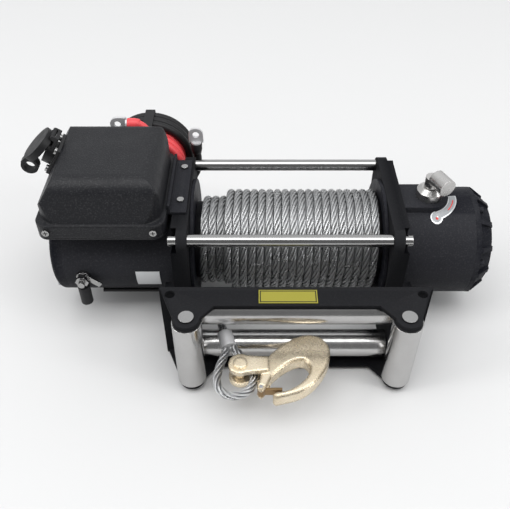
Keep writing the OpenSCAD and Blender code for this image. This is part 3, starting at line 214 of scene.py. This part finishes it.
FERRULE = mm([(-72.5, -127, 55.7), (-67, -146, 54)])
FERRULE_WAY = (FERRULE[1] - FERRULE[0]) / np.linalg.norm(FERRULE[1] - FERRULE[0])
ROPE_ROUTE = [(-68, -48, 38.5), (-71.5, -70, 46), (-76, -92, 54.5)]
rope_line = spline([*mm(ROPE_ROUTE), *(FERRULE[0] - k * MM * FERRULE_WAY for k in (16, 0.05))],
                   ROPE_STEP)
rope_lead, rope_len = sweep("rope_free_end", rope_line, ROPE_R, "base", STRANDS, LAY)
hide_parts("rope_lead")

EYE_Z = 54
EYE_SIDE = mm([4.7, 1.4, 0])  # from the ferrule's axis to each leg of the eye
EYE_ROUTE = [(-73, -160), (-77, -174), (-79, -188), (-76, -200), (-67, -207.5), (-56, -208),
             (-46, -203), (-40.5, -193), (-40, -182), (-45, -170), (-53.5, -157.5)]
EYE_LEG = (0.3, 2, 4)
eye_line = spline([*(FERRULE[1] - EYE_SIDE + k * MM * FERRULE_WAY for k in EYE_LEG),
                   *(mm([x, y, EYE_Z]) for x, y in EYE_ROUTE),
                   *(FERRULE[1] + EYE_SIDE + k * MM * FERRULE_WAY for k in EYE_LEG[::-1])],
                  ROPE_STEP)
rope_eye, eye_len = sweep("rope_loop", eye_line, ROPE_R, "base", STRANDS, LAY)
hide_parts("rope_eye")


# The two battery leads: from the gland into a coil behind the box, and out to the lug

CABLE_R = 4.9 * MM
CABLE_STEP = 0.004
CABLE_SIDES = 16
COIL_X, COIL_Z = -171 * MM, 134 * MM
COIL_Y = 133  # where both leads enter the coil
COIL_STEPS = 60  # for each turn
RAMP = 0.2  # of a turn, from one row to the next

RED_IN = [(-234, 80, 157), (-234, 97, 157), (-234, 107, 156.6), (-233.6, 117, 154.2),
          (-232, 126, 149.3), (-228.6, 132.5, 142), (-223.5, 135.5, 133), (-217, 135.5, 122.5),
          (-210, 134, 113), (-202.5, 133, 105.5)]
RED_OUT = [(-146, 82.5, 164), (-153, 82.5, 170.2), (-159.5, 82, 177), (-165.5, 81.5, 184),
           (-171, 81, 190.5), (-175.5, 81, 195.3), (-180, 81, 198), (-184, 81, 198)]
BLACK_IN = [(-252, 80, 157), (-252, 97, 157), (-252, 107, 156.6), (-251.6, 117, 154.2),
            (-249.8, 126, 149), (-246, 132.5, 141.5), (-240.5, 135.5, 132.5), (-232.5, 135.5, 122),
            (-223.5, 134.5, 111.5), (-214, 133, 103)]
BLACK_OUT = [(-112.5, 93, 124), (-111.5, 93, 134), (-111.5, 93, 143), (-112, 92, 150),
             (-112, 92, 156)]
SLEEVE = [(-7, 5.0), (-6.6, 5.7), (-1, 6.9), (7.5, 7.1), (8, 6.7)]


def coil(start, turns, r_in, r, r_out, rows):
    """Turns of a coil about Y, from an angle in degrees: rows gives the Y of each turn."""
    marks = [(0, r_in, COIL_Y)]
    for i, y in enumerate(rows):
        marks += [(i + RAMP, r, y), (i + 1, r, y)]
    marks[-1] = (turns, r_out, rows[-1])
    at, radii, depths = np.array(marks, float).T
    u = np.linspace(0, turns, int(turns * COIL_STEPS) + 1)
    radius = np.interp(u, at, radii) * MM
    depth = np.interp(u, at, depths) * MM
    a = math.radians(start) + TURN * u
    return np.stack([COIL_X + radius * np.cos(a), depth, COIL_Z + radius * np.sin(a)], 1)


def lead(name, way_in, turns, way_out):
    line = np.vstack([spline(mm(way_in), CABLE_STEP)[:-1], turns[1:-1],
                      spline(mm(way_out), CABLE_STEP)])
    return sweep(name, line, CABLE_R, "base", sides=CABLE_SIDES) + (line,)


red_turns = coil(start=222.14, turns=4.522, r_in=42.48, r=39, r_out=39,
                 rows=(123, 113, 103, 93, 82.5))
black_turns = coil(start=215.79, turns=3.3736, r_in=53.01, r=49, r_out=59.4,
                   rows=(123, 113, 103, 93))
red_lead, red_len, red_line = lead("red_battery_lead", RED_IN, red_turns, RED_OUT)
black_lead, black_len, black_line = lead("black_battery_lead", BLACK_IN, black_turns, BLACK_OUT)
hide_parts("red_lead", "red_coil")
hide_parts("black_lead", "black_coil")
red_sleeve = lathe("red_lug_sleeve", mm(SLEEVE), mm(RED_OUT[-1]), (-1, 0, 0))
black_sleeve = lathe("black_lug_sleeve", mm(SLEEVE), mm(BLACK_OUT[-1]), (0, 0, 1))


# Materials: colour, roughness, grain and wear from noise in each piece's own space

FLECK_GREY = (0.12, 0.12, 0.125)
FLECK_RANGE = (0.52, 0.72)  # of the noise, from no fleck to a full one
WORN_GREY = (0.3, 0.3, 0.31)
WORN_RANGE = (0.52, 0.62)  # of the pointiness, from a flat face to a worn edge
ROUGH_RANGE = (0.3, 0.7)  # of the noise, from the smoothest to the roughest
GRAIN_DEPTH = 0.0006
BEVEL_SAMPLES = 6
ZINC, ZINC_DARK = (0.6, 0.605, 0.61), (0.46, 0.465, 0.47)
# colour of dark oil and painted shade in the grooves between a rope's strands
ROPE_OIL_AND_SHADE = (0.035, 0.036, 0.04)
WIRE_DEPTH = 0.0004


class Shader:
    """The nodes of one new material, around its Principled BSDF."""

    def __init__(self, name):
        self.material = bpy.data.materials.new(name)
        self.material.use_nodes = True
        tree = self.material.node_tree
        self.nodes, self.links = tree.nodes, tree.links
        self.bsdf = self.nodes["Principled BSDF"]
        self.where = self.nodes.new("ShaderNodeTexCoord").outputs["Object"]

    def put(self, value, socket):
        """A constant goes on the socket itself, and a node's output is linked to it."""
        if isinstance(value, bpy.types.NodeSocket):
            self.links.new(value, socket)
        else:
            socket.default_value = (*value, 1) if isinstance(value, tuple) else value

    def surface(self, **values):
        for k, v in values.items():
            self.put(v, self.bsdf.inputs[k.replace("_", " ")])

    def add(self, kind, **values):
        n = self.nodes.new(kind)
        for k, v in values.items():
            self.put(v, n.inputs[k.replace("_", " ")])
        return n

    def noise(self, scale, detail):
        n = self.add("ShaderNodeTexNoise", Scale=scale, Detail=detail, Vector=self.where)
        return n.outputs["Fac"]

    def blend(self, factor, a, b):
        """Colour a turning into b."""
        n = self.nodes.new("ShaderNodeMix")
        n.data_type = "RGBA"
        for value, socket in zip((factor, a, b), (n.inputs[0], n.inputs[6], n.inputs[7])):
            self.put(value, socket)
        return n.outputs[2]

    def remap(self, value, low, high, to_low, to_high):
        n = self.add("ShaderNodeMapRange", Value=value, From_Min=low, From_Max=high,
                     To_Min=to_low, To_Max=to_high)
        return n.outputs[0]

    def calc(self, kind, *values):
        n = self.nodes.new("ShaderNodeMath")
        n.operation = kind
        for value, socket in zip(values, n.inputs):
            self.put(value, socket)
        return n.outputs[0]


def material(name, colour, colour2, rough, metallic=0.0, spec=0.5, grain=(900, 0.1), patch=30,
             spread=0.06, edge=0.0, bevel=0.0, fleck=0.0):
    """Two colours in patches, with flecks and worn edges, on a fine grain (scale, strength)."""
    sh = Shader(name)
    out = sh.blend(sh.noise(patch, 6.0), colour, colour2)
    if fleck:
        flecks = sh.remap(sh.noise(grain[0], 2.0), *FLECK_RANGE, 0.0, fleck)
        out = sh.blend(flecks, out, FLECK_GREY)
    if edge:
        points = sh.nodes.new("ShaderNodeNewGeometry").outputs["Pointiness"]
        out = sh.blend(sh.remap(points, *WORN_RANGE, 0.0, edge), out, WORN_GREY)
    bump = sh.add("ShaderNodeBump", Strength=grain[1], Distance=GRAIN_DEPTH,
                  Height=sh.noise(grain[0], 3.0))
    if bevel:
        soft = sh.add("ShaderNodeBevel", Radius=bevel)
        soft.samples = BEVEL_SAMPLES
        sh.put(soft.outputs[0], bump.inputs["Normal"])
    uneven = sh.remap(sh.noise(patch * 4, 5.0), *ROUGH_RANGE, rough - spread, rough + spread)
    sh.surface(Base_Color=out, Metallic=metallic, Roughness=uneven, Specular_IOR_Level=spec,
               Normal=bump.outputs[0])
    return sh.material


def rope_material(name):
    """Galvanised wire rope: dark oil and painted shade in the grooves between strands, single
    wires along it.
    """
    sh = Shader(name)
    xy = sh.add("ShaderNodeSeparateXYZ", Vector=sh.nodes.new("ShaderNodeUVMap").outputs[0])
    along, around = xy.outputs[0], xy.outputs[1]
    place = sh.calc("FRACT", sh.calc("MULTIPLY", around, STRANDS / UV_AROUND))
    across = sh.calc("MULTIPLY", sh.calc("ABSOLUTE", sh.calc("SUBTRACT", place, 0.5)), 2.0)
    # mask of the grooves between strands: the colour there is dark oil and painted shade
    groove = sh.calc("POWER", across, 3.0)
    turn = sh.calc("ADD", sh.calc("MULTIPLY", around, 1 / UV_AROUND),
                   sh.calc("MULTIPLY", along, 1 / UV_ALONG / LAY))
    wire = sh.calc("SINE", sh.calc("MULTIPLY", turn, TURN * WIRES))
    patch = sh.noise(70.0, 5.0)
    colour = sh.blend(groove, sh.blend(patch, ZINC, ZINC_DARK), ROPE_OIL_AND_SHADE)
    rough = sh.calc("ADD", sh.calc("MULTIPLY", patch, 0.16), 0.2)
    bump = sh.add("ShaderNodeBump", Strength=0.45, Distance=WIRE_DEPTH, Height=wire)
    sh.surface(Base_Color=colour, Metallic=1.0, Roughness=rough, Normal=bump.outputs[0])
    return sh.material


LOOKS = {
    "black_paint": dict(colour=(0.0056, 0.006, 0.0092), colour2=(0.0082, 0.0087, 0.0126),
                        rough=0.5, spec=0.06, grain=(620, 0.35), edge=0.05, bevel=0.0012,
                        patch=22, fleck=0.12),
    "dark_plate": dict(colour=(0.0016, 0.0018, 0.0028), colour2=(0.0028, 0.0031, 0.0044),
                       rough=0.6, spec=0.015, grain=(700, 0.25), edge=0.05, bevel=0.0012,
                       patch=22, fleck=0.05),
    "cover_plastic": dict(colour=(0.006, 0.0063, 0.0082), colour2=(0.0088, 0.0092, 0.0115),
                          rough=0.46, spec=0.26, grain=(640, 0.5), bevel=0.004, patch=16,
                          fleck=0.18),
    "bright_steel": dict(colour=(0.4, 0.398, 0.395), colour2=(0.33, 0.328, 0.325), rough=0.17,
                         metallic=1.0, grain=(700, 0.03), spread=0.04, bevel=0.0005),
    "roller_steel": dict(colour=(0.54, 0.535, 0.53), colour2=(0.44, 0.435, 0.43), rough=0.2,
                         metallic=1.0, grain=(420, 0.06), bevel=0.0008, patch=45),
    "satin_steel": dict(colour=(0.6, 0.59, 0.58), colour2=(0.5, 0.49, 0.48), rough=0.28,
                        metallic=1.0, grain=(700, 0.02), bevel=0.0007),
    "plain_steel": dict(colour=(0.45, 0.46, 0.48), colour2=(0.36, 0.37, 0.39), rough=0.35,
                        metallic=1.0, grain=(600, 0.08), bevel=0.0005),
    "bronze": dict(colour=(0.5, 0.33, 0.15), colour2=(0.42, 0.27, 0.12), rough=0.4, metallic=1.0),
    "copper_winding": dict(colour=(0.42, 0.18, 0.09), colour2=(0.33, 0.14, 0.07), rough=0.45,
                           metallic=0.8),
    "hook_zinc": dict(colour=(0.94, 0.84, 0.66), colour2=(0.6, 0.49, 0.33), rough=0.27,
                      metallic=0.82, grain=(900, 0.1), patch=40, bevel=0.004),
    "latch_bronze": dict(colour=(0.3, 0.2, 0.1), colour2=(0.2, 0.13, 0.065), rough=0.32,
                         metallic=1.0, grain=(300, 0.1), bevel=0.0006),
    "black_rubber": dict(colour=(0.007, 0.007, 0.008), colour2=(0.011, 0.011, 0.012), rough=0.5,
                         spec=0.3, grain=(1200, 0.12), bevel=0.0008),
    "red_rubber": dict(colour=(0.78, 0.07, 0.08), colour2=(0.68, 0.058, 0.066), rough=0.45,
                       grain=(1200, 0.1), bevel=0.0008),
    "tinned": dict(colour=(0.66, 0.66, 0.67), colour2=(0.5, 0.5, 0.51), rough=0.4, metallic=0.4,
                   grain=(260, 0.15), bevel=0.0012),
    "yellow_plate": dict(colour=(0.3, 0.275, 0.05), colour2=(0.27, 0.25, 0.045), rough=0.5,
                         spec=0.05, grain=(900, 0.05), bevel=0.0003),
    "silver_plate": dict(colour=(0.6, 0.61, 0.62), colour2=(0.52, 0.53, 0.54), rough=0.34,
                         metallic=0.9, grain=(900, 0.06), bevel=0.0004),
    "socket_plastic": dict(colour=(0.006, 0.006, 0.007), colour2=(0.009, 0.009, 0.01), rough=0.38,
                           spec=0.35, grain=(1500, 0.12), bevel=0.001),
    "red_mark": dict(colour=(0.62, 0.03, 0.025), colour2=(0.55, 0.025, 0.02), rough=0.5,
                     grain=(900, 0.03)),
    "scale_grey": dict(colour=(0.3, 0.31, 0.32), colour2=(0.25, 0.26, 0.27), rough=0.42,
                       metallic=0.3, grain=(900, 0.04)),
    "floor": dict(colour=(0.62, 0.62, 0.62), colour2=(0.617, 0.617, 0.617), rough=0.9, spec=0.0,
                  grain=(50, 0.0)),
}
MAT = {name: material(name, **look) for name, look in LOOKS.items()}
MAT["rope_steel"] = rope_material("rope_steel")

# CAD nodes that look different from the rest of their material slot
FINISH = {"motor_support": "dark_plate", "gear_support": "dark_plate",
          "fairlead_frame": "dark_plate", "clutch_base": "satin_steel",
          "clutch_lever": "satin_steel", "rope_ferrule": "tinned"}


def paint(ob, finish):
    ob.data.materials.clear()
    ob.data.materials.append(MAT[finish])


def dress(ob, slot, finish=None):
    paint(ob, finish or slot)


for sub in frame["record"]["subparts"]:
    paint(nodes[sub["node"]], FINISH.get(sub["node"], sub["material_slot"]))
for ob in (rope_outer, rope_inner, rope_lead, rope_eye):
    dress(ob, "rope_steel")
dress(rope_core, "plain_steel")
for ob in (red_lead, red_sleeve):
    dress(ob, "red_rubber")
for ob in (black_lead, black_sleeve):
    dress(ob, "black_rubber")


# Small trim laid on the CAD surfaces

HOUSING_R = 65.85 * MM
CLUTCH_X = 164 * MM
SCALE_END = math.radians(-80)
MOTOR_PLATE_X = mm([-178, -150])
MOTOR_PLATE_R = mm([60.02, 60.5])
MOTOR_PLATE_ANGLES = np.radians(np.linspace(177, 201, 13))
SCREW_X = mm([-264.5, -148.5])
SCREW_Z = 0.157
SLOT_L, SLOT_W = 0.0026, 0.0005  # half sizes of the painted-shade cross on a screw
LINE_W = 0.0005  # half the width of the plate's border line
TRIM_T = 0.0001  # half the thickness of cross and line
BORDER_IN = 0.0018  # from the plate's edge to the line's middle
BORDER_END = 0.0012  # and to the line's ends


def strip(name, section, angles, place):
    """A thin closed strip: place(u, v, angle) puts a corner of the four-cornered section."""
    u, v = section
    corners = ((u[0], v[0]), (u[1], v[0]), (u[1], v[1]), (u[0], v[1]))
    points = [place(p, q, a) for a in angles for p, q in corners]
    return piece(name, points, tube_faces(len(angles), 4), smooth=False)


def on_housing(u, lift, a):
    """A point over the gear housing, by its distance and direction from the clutch in plan."""
    x, y = CLUTCH_X + u * math.cos(a), u * math.sin(a)
    return (x, y, AXIS_Z + math.sqrt((HOUSING_R + lift) ** 2 - y ** 2))


def arc_mark(name, radii, first, last, lift, steps=16):
    angles = [math.radians(first + (last - first) * i / steps) for i in range(steps + 1)]
    return strip(name, (radii, (0, lift)), angles, on_housing)


def dot_mark(name, u, a, r, lift, sides=28):
    v = []
    for h in (0.0, lift):
        for j in range(sides):
            t = TURN * j / sides
            x, y = u * math.cos(a) + r * math.cos(t), u * math.sin(a) + r * math.sin(t)
            v.append(on_housing(math.hypot(x, y), h, math.atan2(y, x)))
    return piece(name, v, tube_faces(2, sides), smooth=False)


def bars(name, boxes):
    """Several small boxes in one piece: each is a centre and three half edges."""
    v, f = [], []
    for box in boxes:
        c, x, y, z = map(Vector, box)
        f += [tuple(len(v) + i for i in q) for q in ((3, 2, 1, 0), (4, 5, 6, 7), (0, 1, 5, 4),
                                                     (1, 2, 6, 5), (2, 3, 7, 6), (3, 0, 4, 7))]
        v += [c + sx * x + sy * y + sz * z for sz in (-1, 1)
              for sx, sy in ((-1, -1), (1, -1), (1, 1), (-1, 1))]
    return piece(name, v, f, smooth=False)


dress(strip("motor_plate", (MOTOR_PLATE_X, MOTOR_PLATE_R), MOTOR_PLATE_ANGLES, about_axis),
      "silver_plate")

dress(arc_mark("clutch_scale", mm([23.4, 30.6]), 3, -74, 0.12 * MM), "silver_plate", "scale_grey")
dress(dot_mark("clutch_scale_end", 29 * MM, SCALE_END, 5.7 * MM, 0.1 * MM),
      "silver_plate", "scale_grey")
dress(dot_mark("clutch_dot", 30.4 * MM, SCALE_END, 1.5 * MM, 0.25 * MM), "red_rubber", "red_mark")
dress(arc_mark("clutch_arc", mm([27, 28.2]), -12, -46, 0.25 * MM), "red_rubber", "red_mark")

dress(bars("terminal_tab", [((-0.2285, -0.0655, 0.0775), (0.0085, 0, -0.0075), (0, 0.001, 0),
                             (0.0022, 0, 0.0025))]), "bright_steel")

# A flat black cross on each box screw head: painted shade standing in for the screw's recess
screw_lo, screw_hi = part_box("box_screws")
dress(bars("screw_recess_painted_shade", [((x, y, SCREW_Z), (w, 0, 0), (0, TRIM_T, 0), (0, 0, h))
                              for x in SCREW_X for y in (screw_lo.y, screw_hi.y)
                              for w, h in ((SLOT_L, SLOT_W), (SLOT_W, SLOT_L))]), "black_rubber")

plate_lo, plate_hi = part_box("fairlead_plate")
mid = (plate_lo + plate_hi) / 2
half = (plate_hi - plate_lo) / 2
border = []
for s in (-1, 1):
    border.append(((mid.x, mid.y + s * (half.y - BORDER_IN), plate_hi.z),
                   (half.x - BORDER_END, 0, 0), (0, LINE_W, 0), (0, 0, TRIM_T)))
    border.append(((mid.x + s * (half.x - BORDER_IN), mid.y, plate_hi.z),
                   (LINE_W, 0, 0), (0, half.y - BORDER_END, 0), (0, 0, TRIM_T)))
dress(bars("plate_border", border), "black_rubber")


# Floor and soft studio light

FLOOR_HALF = 20.0
FLOOR_Z = -0.001

floor = bpy.data.meshes.new("floor")
floor.from_pydata([(x * FLOOR_HALF, y * FLOOR_HALF, FLOOR_Z)
                   for x, y in ((-1, -1), (1, -1), (1, 1), (-1, 1))], [], [(0, 1, 2, 3)])
floor.materials.append(MAT["floor"])
floor_ob = bpy.data.objects.new("floor", floor)
scene.collection.objects.link(floor_ob)


def softbox(name, place, target, size, watts):
    data = bpy.data.lights.new(name, "AREA")
    data.shape = "RECTANGLE"
    data.size, data.size_y = size
    data.energy = watts
    ob = bpy.data.objects.new(name, data)
    ob.location = place
    ob.rotation_euler = (Vector(target) - Vector(place)).to_track_quat("-Z", "Y").to_euler()
    scene.collection.objects.link(ob)


softbox("top_light", (0.0, -0.9, 4.2), (0, 0, 0.05), (5.2, 2.4), 145)
softbox("left_light", (-3.3, -0.9, 2.0), (0, 0, 0.1), (0.9, 2.6), 54)
softbox("right_light", (3.1, -1.3, 1.8), (0, 0, 0.1), (0.8, 2.6), 45)

# The sky is brighter above and behind, and falls off toward the front
world = bpy.data.worlds.new("studio")
world.use_nodes = True
wt = world.node_tree
sky = wt.nodes.new("ShaderNodeTexCoord")
up = wt.nodes.new("ShaderNodeVectorMath")
up.operation = "DOT_PRODUCT"
up.inputs[1].default_value = (0, 0.64, 0.77)
fade = wt.nodes.new("ShaderNodeMapRange")
for socket, value in (("From Min", 0.0), ("From Max", 0.95), ("To Min", 0.24), ("To Max", 1.0)):
    fade.inputs[socket].default_value = value
wt.links.new(sky.outputs["Generated"], up.inputs[0])
wt.links.new(up.outputs["Value"], fade.inputs["Value"])
wt.links.new(fade.outputs[0], wt.nodes["Background"].inputs["Strength"])
wt.nodes["Background"].inputs["Color"].default_value = (0.96, 0.97, 0.98, 1)
scene.world = world
